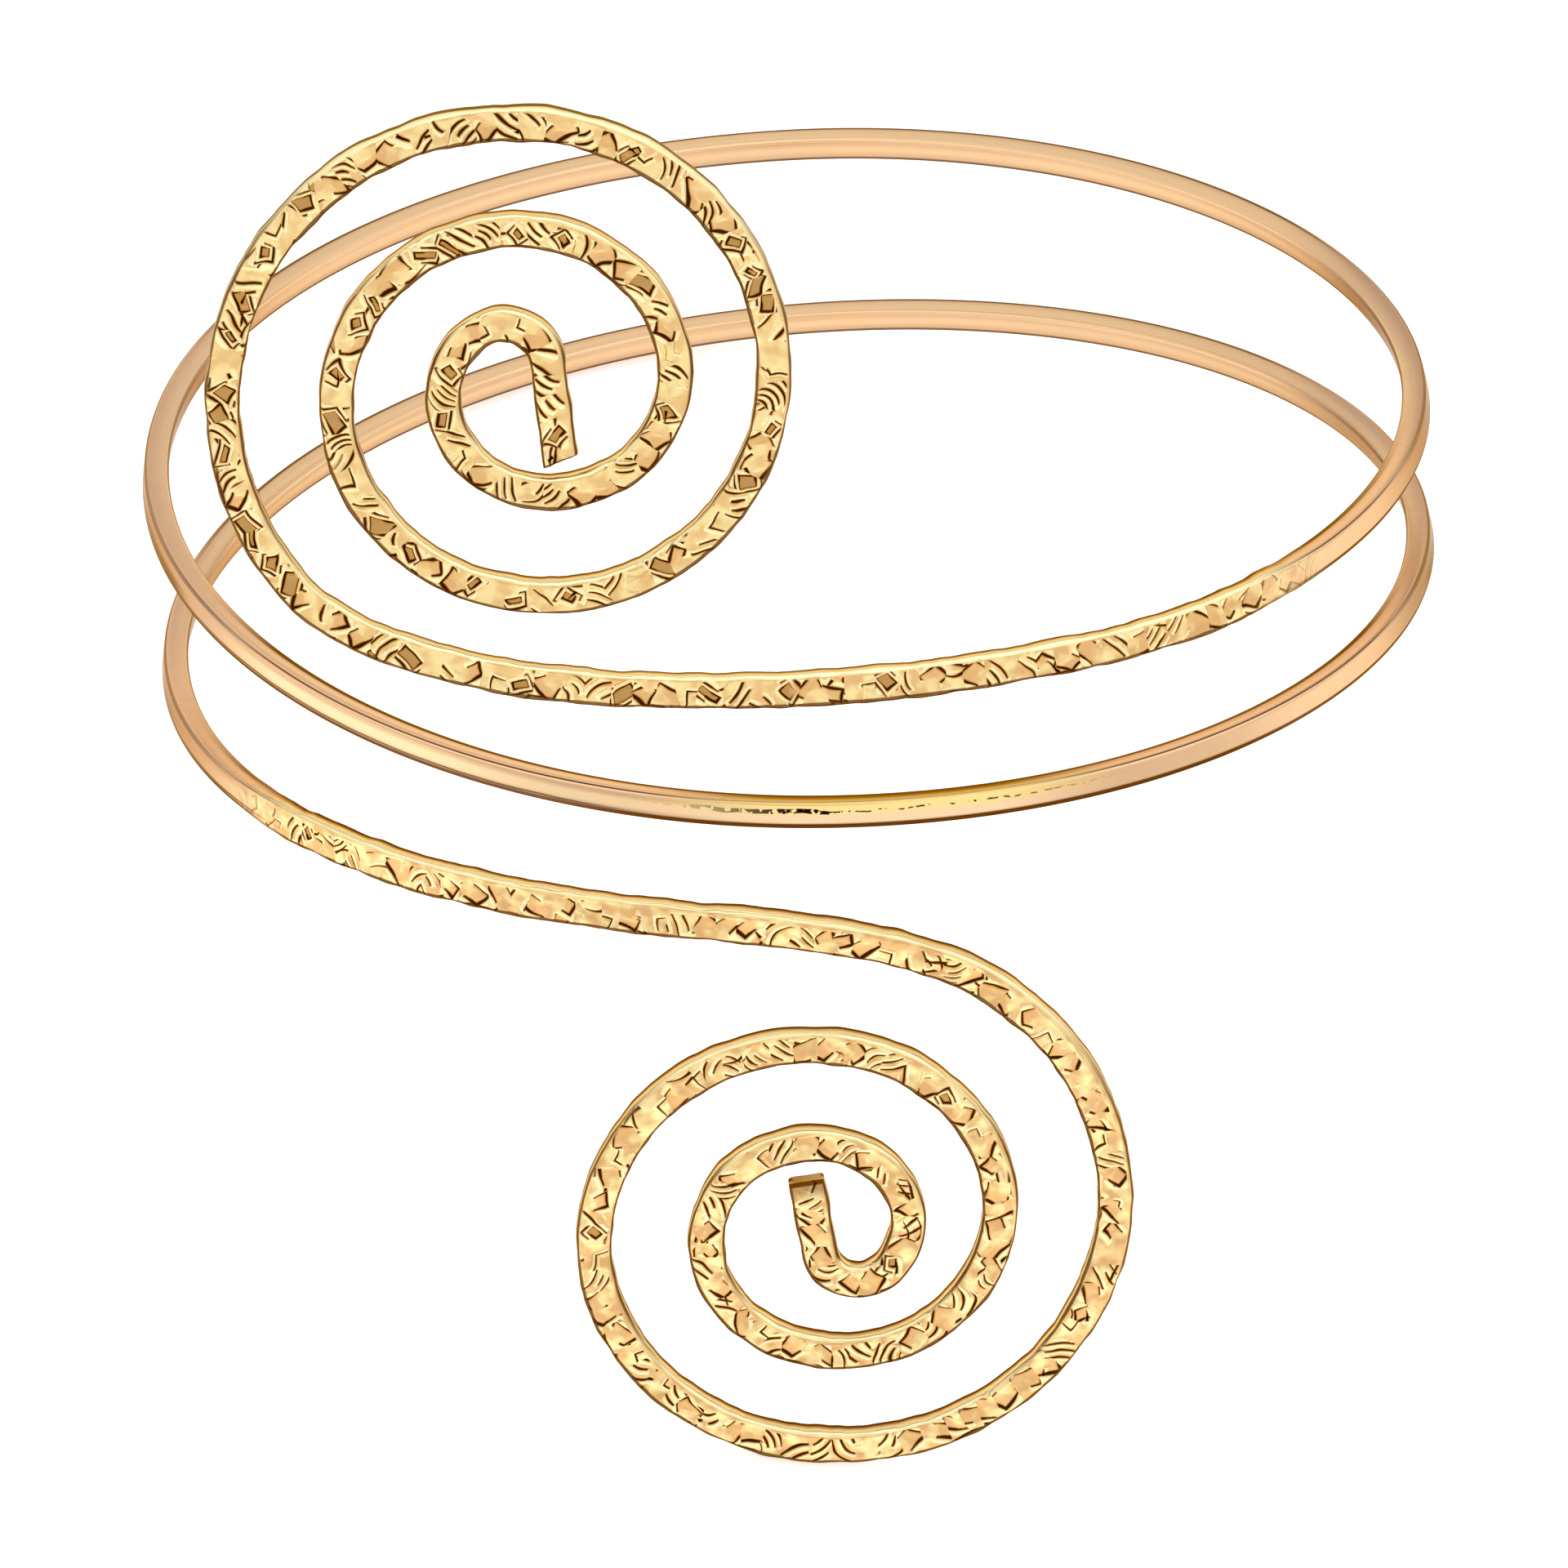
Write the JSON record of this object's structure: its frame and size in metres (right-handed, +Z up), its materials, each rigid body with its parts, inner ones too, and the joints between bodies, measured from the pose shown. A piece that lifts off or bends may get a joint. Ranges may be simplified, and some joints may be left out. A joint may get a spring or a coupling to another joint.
{
  "type": "spiral coil arm cuff",
  "caption": "Open arm cuff coiled from one length of wire, each end hammered flat and rolled into a spiral disc that stands in front of the coil.",
  "frame": {"origin": "middle of the footprint box, on the surface that the cuff rests on", "axes": "+Z up from that surface, -Y towards the front that both discs face, +X to the right seen from the front"},
  "size_m": [0.0864, 0.1008, 0.0838],
  "materials": {
    "gold": "warm gold-toned metal, drawn wire smooth and satin-bright, both ends hammered all over"
  },
  "bodies": {
    "root": {"coil_wire": "gold"}
  },
  "joints": []
}
